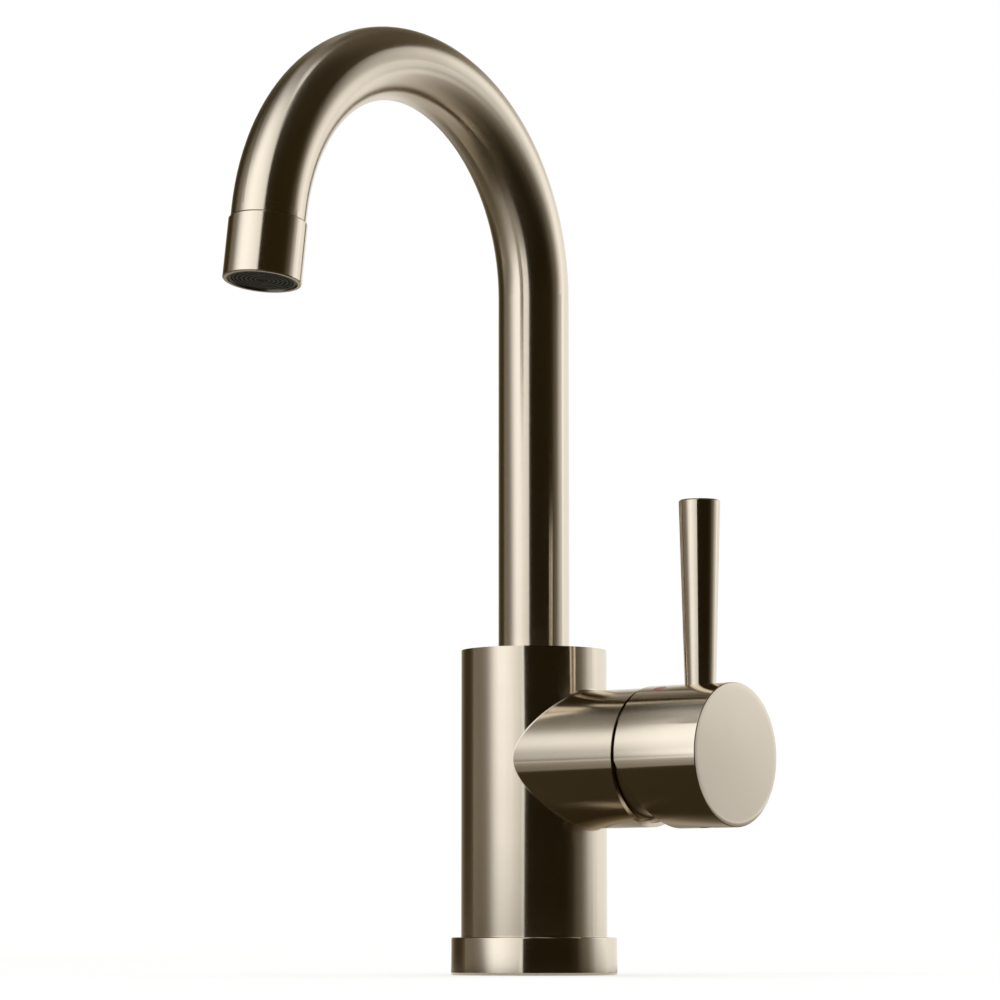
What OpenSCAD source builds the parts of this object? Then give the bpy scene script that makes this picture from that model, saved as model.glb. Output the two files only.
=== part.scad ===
// Basin mixer tap: an upright column on a base ring, a swivelling gooseneck spout with an
// aerator, and a side boss that holds a ceramic cartridge worked by a tilting hub with a pin
// lever. Millimetres. +Z is up, the origin is the middle of the face that sits on the deck,
// the spout points along -Y and the boss along +X. The tap is drawn closed.

/* [Column and base] */
// Diameter of the upright column
column_d = 45; // [43:0.5:50]
// Height of the column's flat top above the boss's axis
column_above_boss = 34.3; // [34:0.1:60]
// Height of the base ring
ring_h = 11.5; // [8:0.1:16]
// How far the base ring stands out past the column
ring_ledge = 3.05; // [2:0.05:8]
// Width of the bevel round the top of the base ring
ring_bevel = 0.8; // [0.3:0.1:1.5]
// Thickness of the base ring's floor, under the column
ring_floor = 3.2; // [2.6:0.1:5]
// Diameter of the locating spigot that drops through the base ring
deck_spigot_d = 33; // [32.5:0.5:34]
// Thickness of the flat gasket under the base ring
gasket_t = 1.8; // [1:0.1:2.2]

/* [Water inlets and fixing stud] */
// Distance between the two inlets
inlet_spacing = 17; // [15:0.5:18]
// How far the inlets sit from the column's axis towards the boss
inlet_x = 5.5; // [4:0.5:6]
// Bore of an inlet's thread, for a hose with an M10 x 1 end
inlet_bore_d = 9; // [8:0.1:9.4]
// Depth of an inlet's thread
inlet_depth = 12; // [8:0.5:16]
// Bore of the water passages in the column
passage_d = 7; // [5:0.5:7.5]
// Distance of the fixing stud from the column's axis, away from the boss
stud_offset = 9.5; // [8.5:0.5:10.5]
// Bore of the stud's thread, for M8
stud_bore_d = 6.8; // [5:0.1:7]
// Depth of the stud's thread
stud_depth = 15; // [10:0.5:25]

/* [Side boss] */
// Height of the boss's axis above the deck
boss_z = 65.4; // [55:0.1:90]
// Diameter of the boss
boss_d = 42; // [41.4:0.2:46]
// Distance from the column's axis to the boss's open end
boss_end_x = 44.8; // [44.2:0.1:60]
// Depth of the plain recess at the boss's mouth, round the cover
mouth_depth = 4; // [3:0.1:5]

/* [Spout] */
// Outside diameter of the spout's tube
spout_d = 22; // [20:0.5:23]
// Wall of the spout's tube
spout_wall = 1.2; // [0.8:0.1:2]
// Radius of the spout's bend, at the tube's middle
bend_r = 62.8; // [45:0.1:90]
// Height of the middle of the bend above the deck
bend_z = 210.2; // [150:0.1:280]
// Angle that the bend turns through
bend_deg = 172; // [150:1:180]
// Straight length of tube after the bend
spout_end_len = 2.5; // [2:0.1:10]
// Swing of the spout to each side
swivel_deg = 60; // [20:5:80]

/* [Aerator] */
// Length of the aerator's sleeve
sleeve_len = 18; // [17:0.1:26]
// How far the sleeve's side stands out past the tube
sleeve_step = 0.5; // [0:0.1:1.5]
// Wall of the sleeve at the outlet
sleeve_wall = 1.2; // [1:0.1:2]
// Fine open line between the tube and the sleeve
sleeve_seam = 0.25; // [0.1:0.05:0.6]
// How deep the black insert sits inside the sleeve's mouth
outlet_recess = 0.8; // [0.3:0.1:2]
// Number of rings in the outlet's grille
grille_rings = 5; // [3:1:6]

/* [Cartridge] */
// Outside diameter of the cartridge
cartridge_d = 35; // [34:0.1:35.2]
// Thickness of the cartridge's base
cartridge_base_t = 4; // [3.5:0.1:5]
// Thickness of each ceramic disc
disc_t = 3; // [2.5:0.1:3.5]
// Height of the lift pivot above the cartridge's seat
pivot_h = 24; // [23.5:0.1:25]
// Distance from the lift pivot down to the stem's ball
ball_arm = 10.4; // [9.8:0.1:10.8]
// Side of the stem's square
stem_side = 8; // [7:0.1:8.4]
// Lean of the stem inside the closed tap
stem_lean = 10; // [8:0.5:11]

/* [Handle] */
// Diameter of the handle's hub
cap_d = 43.1; // [42.4:0.1:50]
// Length of the hub
cap_len = 30.4; // [28:0.1:40]
// Gap between the boss and the hub
cap_gap = 0.8; // [0.5:0.1:1.5]
// Wall of the hub round its hollow back
cap_wall = 1.9; // [1.5:0.1:2.4]
// Bevel round the hub's back edge
cap_back_bevel = 0.8; // [0.3:0.1:1.2]
// Bevel round the hub's front face
cap_face_bevel = 0.2; // [0.1:0.1:1]
// Slant of the relief across the lower back of the hub
relief_deg = 24; // [21:0.5:30]
// Lever's diameter at the hub
lever_base_d = 9.4; // [7:0.1:10]
// Lever's diameter at its top
lever_top_d = 12.6; // [8:0.1:14]
// Height of the lever's top above the hub's axis
lever_h = 76.9; // [50:0.1:110]
// Distance from the hub's front face back to the lever's axis
lever_from_face = 13.1; // [12:0.1:14]
// Diameter of the hot and cold marks
mark_d = 4; // [2:0.1:5]

/* [Hidden] */
$fn = 96;

// Clearances, each written once
slip = 0.05;          // radial, where a piece turns or slides in another
seat_slip = 0.1;      // radial, where a fixed piece drops into its seat
thread_slip = 0.1;    // radial, between the two sides of a thread
film = 0.03;          // between the two ceramic discs
past = 1;             // how far a cut runs past the face it opens

// Finishes
satin = "#a89b86";
bare_brass = "#b08d4f";
steel = "#8c8c8c";
black_plastic = "#1c1c1c";
white_plastic = "#e6e3da";
grey_plastic = "#9b9b98";
black_rubber = "#262626";
ceramic = "#f2efe8";
red_paint = "#b8322e";
blue_paint = "#2d5fa8";

// Column, base ring and deck spigot
column_r = column_d / 2;
column_top = boss_z + column_above_boss;
ring_r = column_r + ring_ledge;
deck_spigot_r = deck_spigot_d / 2;
gasket_inset = 2;                                  // metal left each side of the gasket
seal_groove_z = (ring_floor + ring_h) / 2;         // O-ring between the column and the ring
seal_groove_depth = 1.4;

// Boss and the bores inside it, from the mouth inwards
boss_r = boss_d / 2;
cartridge_r = cartridge_d / 2;
nut_h = 5;                                         // threaded part of the nut
shoulder_h = pivot_h - 2.5;                        // cartridge's shoulder above its seat
seat_x = boss_end_x - mouth_depth - nut_h - 0.3 - shoulder_h;
shoulder_x = seat_x + shoulder_h;
thread_r = cartridge_r + 1.5;
mouth_r = thread_r + 0.7;
pivot_x = seat_x + pivot_h;

// Ports in the seat, measured from the boss's axis: hot and cold above it, mixed water below
port_r = 2.6;
port_circle_r = 9;
port_turn = 45;                                    // degrees from the top, each way
side_port_y = port_circle_r * sin(port_turn);
side_port_z = port_circle_r * cos(port_turn);
mix_port_z = -8.5;
port_seal_r = port_r + 1.3;
port_seal_t = 1.5;

// Waterways in the column
inlet_y = inlet_spacing / 2;
passage_r = passage_d / 2;
drill_tip = 0.8;                                   // how far a drilling runs past what it meets
thread_runout = 0.5;

// Spout's socket in the column, from its floor upwards
spout_r = spout_d / 2;
spigot_r = spout_r + 0.2;
spigot_above_boss = 12.5;
spigot_foot_h = 12.5;                              // up to the shoulder that the tube stands on
spigot_bottom = boss_z + spigot_above_boss;
socket_floor = spigot_bottom - 0.5;
spigot_shoulder = spigot_bottom + spigot_foot_h;
spigot_tail = 8;                                   // length of the spigot inside the tube
bush_h = 6;
bush_r = spout_r + 1.75;
bush_top = column_top - 0.3;
o_ring_r = 0.9;                                    // radius of an O-ring's section
o_ring_groove = 2.2;
o_ring_above_foot = 2.1;
o_ring_pitch = 3.3;
o_ring_z = [spigot_bottom + o_ring_above_foot,
            spigot_bottom + o_ring_above_foot + o_ring_pitch];
stop_above_foot = 9.1;
stop_z = spigot_bottom + stop_above_foot;
stop_tip_r = 1.4;
stop_screw_r = 2;
stop_groove_r = spigot_r - 2;
stop_side_slip = 0.2;                              // between the stop's tip and its groove

// Aerator, measured from the end of the tube along the flow
bore_r = spout_r - spout_wall;
spigot_bore_r = bore_r - 2.2;
nipple_bore_r = bore_r - 1.6;
nipple_tail = 2;                                   // length of the nipple inside the tube
end_lap = 0.5;                                     // how far the trued end runs into the bend
sleeve_r = spout_r + sleeve_step;
sleeve_bore_r = sleeve_r - sleeve_wall;
nipple_r = sleeve_bore_r - 0.3;
nipple_len = 7;
washer_t = 1.4;
washer_z = sleeve_seam + nipple_len;
aerator_z = washer_z + washer_t;
outlet_z = sleeve_seam + sleeve_len;
aerator_r = sleeve_bore_r - seat_slip;
aerator_end = outlet_z - outlet_recess;
aerator_wall = 1.1;
strainer_seat_r = aerator_r - 3;
strainer_above_seat = 3.5;
strainer_seat_z = aerator_z + strainer_above_seat;
strainer_dome_r = 9;
strainer_t = 0.5;
shelf_t = 0.8;                                     // what the strainer stands on
shelf_r = strainer_seat_r - 1;
grille_h = 2.6;
grille_inset = 0.4;

// Cartridge stack, measured from the seat along the boss
chamber_r = cartridge_r - 1.6;
neck_r = cartridge_r - 2.9;
neck_bore_r = neck_r - 2.1;
fixed_disc_h = cartridge_base_t;
moving_disc_h = fixed_disc_h + disc_t + film;
driver_h = moving_disc_h + disc_t;
driver_plate_t = 3;
driver_block_h = pivot_h - ball_arm + 2.9;
carrier_h = driver_h + driver_plate_t + 0.3;
carrier_flange_t = 4;
carrier_above_pivot = 3.5;
carrier_top = pivot_h + carrier_above_pivot;
chamber_top = carrier_h + carrier_flange_t + seat_slip;
neck_top = pivot_h + 3;
slot_y = stem_side / 2 + 0.15;
ball_r = 2.75;
ball_neck_r = 1.9;
ball_travel = ball_arm * sin(stem_lean);           // each way from the middle
moving_disc_r = chamber_r - ball_travel - 0.3;
mixing_r = port_circle_r - port_r - 0.6;           // clear of the ports while the tap is closed
outlet_cavity_r = 5;
outlet_cavity_z = -7;
cavity_depth = disc_t * 0.6;
peg_r = 1.1;
peg_y = 8;
peg_len = 1.4;
driver_block_z = 4.6;                              // half the driver block's length
slot_z = driver_block_z + ball_travel + 0.4;
pin_r = 1.5;
pin_short = 0.8;                                   // each end of the pin, inside the carrier

// Cover over the cartridge, a dome about the lift pivot
dome_r = cartridge_r + 1.9;
dome_wall = 1.5;
cover_r = thread_r - 0.7;
neck_thread_r = cover_r - 1.4;
dome_hole_r = 10.5;
mouth_floor_x = boss_end_x - mouth_depth;
nut_top_x = mouth_floor_x + 2.2;

// Hub and lever
cap_r = cap_d / 2;
cap_back_x = boss_end_x + cap_gap;
cap_face_x = cap_back_x + cap_len;
cap_bore_r = cap_r - cap_wall;
cap_floor_x = pivot_x + dome_r + 0.4;
lever_x = cap_face_x - lever_from_face;
lever_base_r = lever_base_d / 2;
lever_top_r = lever_top_d / 2;
lever_seat_z = sqrt(pow(cap_r, 2) - pow(lever_base_r, 2)) - 0.8;
lever_edge = 0.4;
lever_stud_r = 2.5;
lever_stud_len = 7;
insert_r = stem_side * 0.7071 + 1.25;
insert_from = dome_r - 2.4;
stem_in_insert = 12.3;
screw_from_end = 6;
stem_end = insert_from + stem_in_insert;
screw_at = stem_end - screw_from_end;
screw_r = 2.5;
screw_len = 10;
mark_from_back = 7.7;
mark_x = cap_back_x + mark_from_back;
mark_turn = 20.5;                                  // degrees from the top, each way
mark_depth = 0.5;

// Cylinder along +X from x0 to x1, on the boss's axis
module along_x(r, x0, x1) {
    translate([x0, 0, boss_z]) rotate([0, 90, 0]) cylinder(r = r, h = x1 - x0);
}

// Cylinder along +X, offset from the boss's axis in its seat's plane
module port_x(r, x0, x1, y, z) {
    translate([x0, y, boss_z + z]) rotate([0, 90, 0]) cylinder(r = r, h = x1 - x0);
}

// The three ports of the cartridge, as cylinders
module ports(r, x0, x1) {
    for (side = [-1, 1]) port_x(r, x0, x1, side * side_port_y, side_port_z);
    port_x(r, x0, x1, 0, mix_port_z);
}

// Ring along +Z
module ring_z(r_out, r_in, z0, z1) {
    translate([0, 0, z0]) difference() {
        cylinder(r = r_out, h = z1 - z0);
        translate([0, 0, -past]) cylinder(r = r_in, h = z1 - z0 + 2 * past);
    }
}

// Hexagon socket's prism along +Z, by its width across flats
module hex_socket(across, depth) {
    cylinder(d = across / cos(30), h = depth, $fn = 6);
}

// Everything that leans with the stem: X along the stem from the lift pivot
module on_stem() {
    translate([pivot_x, 0, boss_z]) rotate([0, -stem_lean, 0]) children();
}

// Everything at the outlet: Z along the flow from the end of the tube
module at_outlet() {
    translate([0, -bend_r, bend_z]) rotate([bend_deg, 0, 0])
        translate([0, bend_r, spout_end_len]) children();
}

// Column, side boss, deck spigot, cartridge pocket, spout socket and waterways
module tap_body() {
    color(satin) difference() {
        union() {
            translate([0, 0, ring_floor]) cylinder(r = column_r, h = column_top - ring_floor);
            cylinder(r = deck_spigot_r, h = ring_floor + past);
            along_x(boss_r, 0, boss_end_x);
        }
        ring_z(column_r + past, column_r - seal_groove_depth,
               seal_groove_z - o_ring_groove / 2, seal_groove_z + o_ring_groove / 2);
        along_x(cartridge_r + seat_slip, seat_x, boss_end_x);
        along_x(thread_r, shoulder_x - thread_runout, boss_end_x);
        along_x(mouth_r, mouth_floor_x, boss_end_x + past);
        waterways();
        translate([-stud_offset, 0, -past]) cylinder(d = stud_bore_d, h = stud_depth + past);
        translate([0, 0, socket_floor])
            cylinder(r = spigot_r + slip, h = column_top - socket_floor + past);
        translate([0, 0, bush_top - bush_h]) cylinder(r = bush_r + slip, h = bush_h + past);
        translate([0, column_r + past, stop_z]) rotate([90, 0, 0])
            cylinder(r = stop_screw_r + slip, h = column_r + past - spout_r);
    }
}

// Hot and cold water from the inlets up to the cartridge's seat, and mixed water from there to
// the spout's socket
module waterways() {
    inlet_top = boss_z + side_port_z + port_r + drill_tip;
    mix_bottom = boss_z + mix_port_z - port_r - drill_tip;
    ports(port_r, inlet_x, seat_x + past);
    port_x(port_r, 0, seat_x, 0, mix_port_z);
    for (side = [-1, 1]) translate([inlet_x, side * inlet_y, 0]) {
        translate([0, 0, inlet_depth - past]) cylinder(r = passage_r, h = inlet_top - inlet_depth + past);
        translate([0, 0, -past]) cylinder(d = inlet_bore_d, h = inlet_depth + past);
    }
    translate([0, 0, mix_bottom]) cylinder(r = passage_r, h = socket_floor - mix_bottom + past);
}

// Ring that finishes the foot of the column and carries it on the deck
module base_ring() {
    color(satin) difference() {
        rotate_extrude() polygon([
            [deck_spigot_r + seat_slip, 0], [ring_r, 0], [ring_r, ring_h - ring_bevel],
            [ring_r - ring_bevel, ring_h], [column_r + seat_slip, ring_h],
            [column_r + seat_slip, ring_floor], [deck_spigot_r + seat_slip, ring_floor]]);
        ring_z(ring_r - gasket_inset, deck_spigot_r + gasket_inset, -past, gasket_t);
    }
}

module base_gasket() {
    color(black_rubber)
        ring_z(ring_r - gasket_inset - slip, deck_spigot_r + gasket_inset + slip, 0, gasket_t);
}

// O-ring in the column's foot, which holds the base ring
module ring_seal() {
    color(black_rubber) translate([0, 0, seal_groove_z]) rotate_extrude()
        translate([column_r - 0.75, 0]) circle(r = 0.6, $fn = 24);
}

// Plain bush that guides the tube in the top of the column
module spout_bush() {
    color(grey_plastic) ring_z(bush_r, spout_r + slip, bush_top - bush_h, bush_top);
}

// Screw at the back of the column, whose tip holds the spout and stops its swing
module spout_stop_screw() {
    tip_y = stop_groove_r + 0.3;
    shank_y = spigot_r + 0.3;
    head_y = column_r - 1.2;
    color(steel) translate([0, head_y, stop_z]) rotate([90, 0, 0]) difference() {
        union() {
            cylinder(r = stop_screw_r, h = head_y - shank_y);
            cylinder(r = stop_tip_r, h = head_y - tip_y);
        }
        translate([0, 0, -past]) hex_socket(2, 2.5 + past);
    }
}

// Cartridge's outer shell: the disc chamber, a shoulder for the nut and the carrier's neck
module cartridge_housing() {
    color(white_plastic) difference() {
        union() {
            along_x(cartridge_r, seat_x + cartridge_base_t, shoulder_x);
            along_x(neck_r, shoulder_x - past, seat_x + neck_top);
        }
        along_x(chamber_r, seat_x + cartridge_base_t - past, seat_x + chamber_top);
        along_x(neck_bore_r, seat_x + chamber_top - past, seat_x + neck_top + past);
    }
}

// Cartridge's base, with its three ports and a seal seat on each face of each port
module cartridge_base() {
    color(grey_plastic) difference() {
        along_x(cartridge_r, seat_x, seat_x + cartridge_base_t);
        ports(port_r, seat_x - past, seat_x + cartridge_base_t + past);
        ports(port_seal_r + slip, seat_x - past, seat_x + port_seal_t);
        ports(port_seal_r + slip, seat_x + cartridge_base_t - port_seal_t,
              seat_x + cartridge_base_t + past);
    }
}

// Three rubber rings at one face of the cartridge's base
module seal_set(x0) {
    color(black_rubber) difference() {
        ports(port_seal_r, x0, x0 + port_seal_t);
        ports(port_r, x0 - past, x0 + port_seal_t + past);
    }
}

module port_seals() { seal_set(seat_x); }
module disc_seals() { seal_set(seat_x + cartridge_base_t - port_seal_t); }

// Ceramic disc that stands still, with the three ports
module fixed_disc() {
    color(ceramic) difference() {
        along_x(chamber_r - seat_slip, seat_x + fixed_disc_h, seat_x + fixed_disc_h + disc_t);
        ports(port_r, seat_x + fixed_disc_h - past, seat_x + fixed_disc_h + disc_t + past);
    }
}

// Threaded ring that holds the cartridge down, with a neck for the cover and wrench notches
module cartridge_nut() {
    color(bare_brass) difference() {
        union() {
            along_x(thread_r - thread_slip, shoulder_x, shoulder_x + nut_h);
            along_x(neck_thread_r, shoulder_x, nut_top_x);
        }
        along_x(neck_r + thread_slip, shoulder_x - past, nut_top_x + past);
        for (a = [0, 90]) translate([nut_top_x, 0, boss_z]) rotate([a, 0, 0])
            cube([3, 2 * thread_r, 3], center = true);
    }
}

// Domed cover over the nut, round the stem; the hub tilts over it
module cartridge_cover() {
    skirt_h = shoulder_x + nut_h + 0.2 - pivot_x;
    color(satin) translate([pivot_x, 0, boss_z]) rotate([0, 90, 0]) rotate_extrude()
        difference() {
            dome_half(dome_r, cover_r, skirt_h);
            dome_half(dome_r - dome_wall, neck_thread_r + thread_slip, skirt_h - past);
            translate([0, skirt_h - 2 * past]) square([dome_hole_r, 2 * dome_r]);
        }
}

// Half outline of a ball about the lift pivot, turned down to a straight skirt from h0 up
module dome_half(ball, skirt, h0) {
    intersection() {
        circle(r = ball);
        translate([0, h0]) square([skirt, ball]);
    }
}

// A run of the spout's round section: the stem, the bend and the short end, which is trued
// by a light cut of the depth given; it runs beyond the tube's two ends by the length given
module spout_run(r, trued, beyond) {
    translate([0, 0, spigot_shoulder - beyond])
        cylinder(r = r, h = bend_z - spigot_shoulder + beyond);
    translate([0, -bend_r, bend_z]) rotate([0, 90, 0]) rotate([0, 0, 90])
        rotate_extrude(angle = bend_deg) translate([bend_r, 0]) circle(r = r);
    at_outlet() translate([0, 0, -spout_end_len - end_lap])
        cylinder(r = r - trued, h = spout_end_len + end_lap + beyond);
}

module spout_tube() {
    light_cut = 0.02;
    color(satin) difference() {
        spout_run(spout_r, light_cut, 0);
        spout_run(bore_r, -light_cut, past);
    }
}

// Turned foot brazed into the tube: two O-ring grooves, and the groove that the stop screw
// runs in, whose ends set the swing
module spout_spigot() {
    stop_half = swivel_deg + asin(stop_tip_r / (stop_groove_r + 0.3)) + 1.5;
    color(bare_brass) difference() {
        union() {
            translate([0, 0, spigot_bottom])
                cylinder(r = spigot_r, h = spigot_shoulder - spigot_bottom);
            translate([0, 0, spigot_shoulder - past])
                cylinder(r = bore_r - slip, h = spigot_tail + past);
        }
        translate([0, 0, spigot_bottom - past])
            cylinder(r = spigot_bore_r, h = spigot_shoulder - spigot_bottom + spigot_tail + 2 * past);
        for (z = o_ring_z)
            ring_z(spigot_r + past, spigot_r - 2 * o_ring_r - slip,
                   z - o_ring_groove / 2, z + o_ring_groove / 2);
        translate([0, 0, stop_z - stop_tip_r - stop_side_slip]) rotate([0, 0, 90 - stop_half])
            rotate_extrude(angle = 2 * stop_half) translate([stop_groove_r, 0])
                square([spigot_r - stop_groove_r + past, 2 * (stop_tip_r + stop_side_slip)]);
    }
}

module spout_seals() {
    color(black_rubber) for (z = o_ring_z) translate([0, 0, z]) rotate_extrude()
        translate([spigot_r - o_ring_r, 0]) circle(r = o_ring_r - 0.02, $fn = 32);
}

// Threaded end brazed into the tube, which the sleeve screws on
module outlet_nipple() {
    color(bare_brass) at_outlet() difference() {
        union() {
            translate([0, 0, -nipple_tail]) cylinder(r = bore_r - slip, h = nipple_tail + past);
            cylinder(r = nipple_r, h = washer_z);
        }
        translate([0, 0, -nipple_tail - past])
            cylinder(r = nipple_bore_r, h = nipple_tail + washer_z + 2 * past);
    }
}

module aerator_sleeve() {
    edge = 0.3;
    color(satin) at_outlet() rotate_extrude() polygon([
        [nipple_r + thread_slip, sleeve_seam], [sleeve_r - edge, sleeve_seam],
        [sleeve_r, sleeve_seam + edge], [sleeve_r, outlet_z - edge], [sleeve_r - edge, outlet_z],
        [sleeve_bore_r, outlet_z], [sleeve_bore_r, washer_z], [nipple_r + thread_slip, washer_z]]);
}

module aerator_washer() {
    color(black_rubber) at_outlet()
        ring_z(sleeve_bore_r - slip, strainer_seat_r, washer_z, aerator_z);
}

// Domed strainer, whose rim stands on the aerator's shelf
module aerator_strainer() {
    rim_r = strainer_seat_r - seat_slip;
    rise = sqrt(pow(strainer_dome_r, 2) - pow(rim_r, 2));
    color(steel) at_outlet() translate([0, 0, strainer_seat_z]) rotate_extrude() intersection() {
        translate([0, rise]) difference() {
            circle(r = strainer_dome_r);
            circle(r = strainer_dome_r - strainer_t);
        }
        translate([0, -strainer_dome_r]) square([rim_r, strainer_dome_r]);
    }
}

// Aerator's body: a cup with the strainer's seat and shelf, open towards the grille
module aerator_body() {
    grille_seat_z = strainer_seat_z + shelf_t;
    color(black_plastic) at_outlet() difference() {
        translate([0, 0, aerator_z]) cylinder(r = aerator_r, h = aerator_end - aerator_z);
        translate([0, 0, aerator_z - past])
            cylinder(r = strainer_seat_r, h = strainer_seat_z - aerator_z + past);
        translate([0, 0, strainer_seat_z - past]) cylinder(r = shelf_r, h = shelf_t + 2 * past);
        translate([0, 0, grille_seat_z])
            cylinder(r = aerator_r - aerator_wall, h = aerator_end - grille_seat_z + past);
    }
}

// Outlet's grille: rings round a raised middle, carried on spokes
module aerator_grille() {
    outer = aerator_r - aerator_wall - slip;
    hub_r = 2.1;
    hub_stands = 0.3;
    rib = 0.7;
    spoke_h = 1.4;
    spoke_lift = 0.2;                              // above the rings' lower plane
    weld = 0.3;                                    // how far a spoke runs into what it joins
    pitch = (outer - hub_r) / grille_rings;
    color(black_plastic) at_outlet() translate([0, 0, aerator_end - grille_inset]) {
        translate([0, 0, -grille_h]) cylinder(r = hub_r, h = grille_h + hub_stands);
        for (i = [1 : grille_rings])
            ring_z(hub_r + i * pitch, hub_r + i * pitch - rib, -grille_h, 0);
        for (a = [0 : 60 : 300]) rotate([0, 0, a])
            translate([hub_r - weld, -rib / 2, -grille_h + spoke_lift])
                cube([outer - hub_r, rib, spoke_h]);
    }
}

// Turning carrier in the cartridge's neck, slotted for the stem
module stem_carrier() {
    color(white_plastic) difference() {
        union() {
            along_x(chamber_r - 0.2, seat_x + carrier_h, seat_x + carrier_h + carrier_flange_t);
            along_x(neck_bore_r - slip, seat_x + carrier_h + past, seat_x + carrier_top);
        }
        translate([seat_x + carrier_h - past, -slot_y, boss_z - slot_z])
            cube([carrier_top - carrier_h + 2 * past, 2 * slot_y, 2 * slot_z]);
        translate([pivot_x, -neck_bore_r, boss_z]) rotate([-90, 0, 0])
            cylinder(r = pin_r + 0.02, h = 2 * neck_bore_r);
    }
}

// Cross pin that the stem tilts on
module stem_pin() {
    half = neck_bore_r - pin_short;
    color(steel) translate([pivot_x, -half, boss_z]) rotate([-90, 0, 0])
        cylinder(r = pin_r, h = 2 * half);
}

// Ceramic disc that turns and slides. Its cavity always meets the mixed water's port, and
// meets the hot and cold ports only when the disc slides up
module moving_disc() {
    x0 = seat_x + moving_disc_h;
    color(ceramic) difference() {
        translate([0, 0, -ball_travel]) along_x(moving_disc_r, x0, x0 + disc_t);
        along_x(mixing_r, x0 - past, x0 + cavity_depth);
        port_x(outlet_cavity_r, x0 - past, x0 + cavity_depth, 0, outlet_cavity_z);
        for (side = [-1, 1])
            port_x(peg_r + slip, x0 + disc_t - peg_len - slip, x0 + disc_t + past,
                   side * peg_y, -ball_travel);
    }
}

// Slide on the moving disc: pegs in the disc, and a block with the socket of the stem's ball
module disc_driver() {
    x0 = seat_x + driver_h;
    color(grey_plastic) translate([0, 0, -ball_travel]) difference() {
        union() {
            along_x(moving_disc_r, x0, x0 + driver_plate_t);
            translate([x0, -slot_y + 0.15, boss_z - driver_block_z])
                cube([driver_block_h - driver_h, 2 * slot_y - 0.3, 2 * driver_block_z]);
            for (side = [-1, 1]) port_x(peg_r, x0 - peg_len, x0 + past, side * peg_y, 0);
        }
        along_x(ball_r + 0.1, x0 + 0.5, seat_x + driver_block_h + past);
    }
}

// Square stem with its ball, on the cross pin
module stem() {
    color(steel) on_stem() difference() {
        union() {
            translate([-stem_side / 2, -stem_side / 2, -stem_side / 2])
                cube([stem_side / 2 + stem_end, stem_side, stem_side]);
            translate([-ball_arm, 0, 0]) rotate([0, 90, 0]) cylinder(r = ball_neck_r, h = ball_arm);
            translate([-ball_arm, 0, 0]) sphere(r = ball_r);
        }
        translate([0, -stem_side, 0]) rotate([-90, 0, 0])
            cylinder(r = pin_r + slip, h = 2 * stem_side);
    }
}

// Insert between the stem's square and the hub
module handle_insert() {
    hole = stem_side + 0.06;
    color(white_plastic) on_stem() difference() {
        translate([insert_from, 0, 0]) rotate([0, 90, 0])
            cylinder(r = insert_r, h = stem_end - insert_from);
        translate([insert_from - past, -hole / 2, -hole / 2])
            cube([stem_end - insert_from + 2 * past, hole, hole]);
        translate([screw_at, 0, -insert_r - past]) cylinder(r = screw_r + seat_slip, h = insert_r);
    }
}

// Hub: hollow back over the dome, slanted relief, sockets for the insert and the lever
module handle_cap() {
    color(satin) difference() {
        translate([cap_back_x, 0, boss_z]) rotate([0, 90, 0]) rotate_extrude() polygon([
            [0, 0], [cap_r - cap_back_bevel, 0], [cap_r, cap_back_bevel],
            [cap_r, cap_len - cap_face_bevel], [cap_r - cap_face_bevel, cap_len], [0, cap_len]]);
        along_x(cap_bore_r, cap_back_x - past, cap_floor_x);
        translate([cap_back_x, 0, boss_z]) rotate([0, -relief_deg, 0])
            translate([-4 * past - cap_len, -cap_d, -2 * cap_d])
                cube([4 * past + cap_len, 2 * cap_d, 2 * cap_d]);
        on_stem() {
            translate([insert_from, 0, 0]) rotate([0, 90, 0])
                cylinder(r = insert_r + slip, h = stem_end - insert_from + 0.3);
            translate([screw_at, 0, -2 * cap_r]) cylinder(r = screw_r + slip, h = 2 * cap_r);
        }
        translate([lever_x, 0, boss_z + lever_seat_z]) {
            cylinder(r = lever_base_r + seat_slip, h = cap_r);
            translate([0, 0, -lever_stud_len - 0.4])
                cylinder(r = lever_stud_r + slip, h = lever_stud_len + 0.4 + past);
        }
        for (side = [-1, 1]) mark_at(side)
            translate([0, 0, cap_r - mark_depth]) cylinder(d = mark_d, h = mark_depth + past);
    }
}

// Screw that locks the hub on the stem
module handle_screw() {
    color(steel) on_stem() translate([screw_at, 0, -stem_side / 2 - screw_len]) difference() {
        cylinder(r = screw_r, h = screw_len);
        translate([0, 0, -past]) hex_socket(2.5, 3 + past);
    }
}

// Tapered pin lever with its threaded stud
module lever_pin() {
    top = lever_h - lever_seat_z;
    color(satin) translate([lever_x, 0, boss_z + lever_seat_z]) rotate_extrude() polygon([
        [0, -lever_stud_len], [lever_stud_r, -lever_stud_len], [lever_stud_r, 0],
        [lever_base_r, 0], [lever_top_r, top - lever_edge], [lever_top_r - lever_edge, top],
        [0, top]]);
}

// A mark's place on the hub: Z outwards from the hub's axis; side is -1 at the front
module mark_at(side) {
    translate([mark_x, 0, boss_z]) rotate([-side * mark_turn, 0, 0]) children();
}

// Enamel dot, flush with the hub's side
module mark(side) {
    intersection() {
        mark_at(side) translate([0, 0, cap_r - mark_depth])
            cylinder(d = mark_d - 0.1, h = mark_depth + past);
        along_x(cap_r - 0.03, mark_x - mark_d, mark_x + mark_d, $fn = 360);
    }
}

module hot_mark() { color(red_paint) mark(-1); }
module cold_mark() { color(blue_paint) mark(1); }

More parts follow.
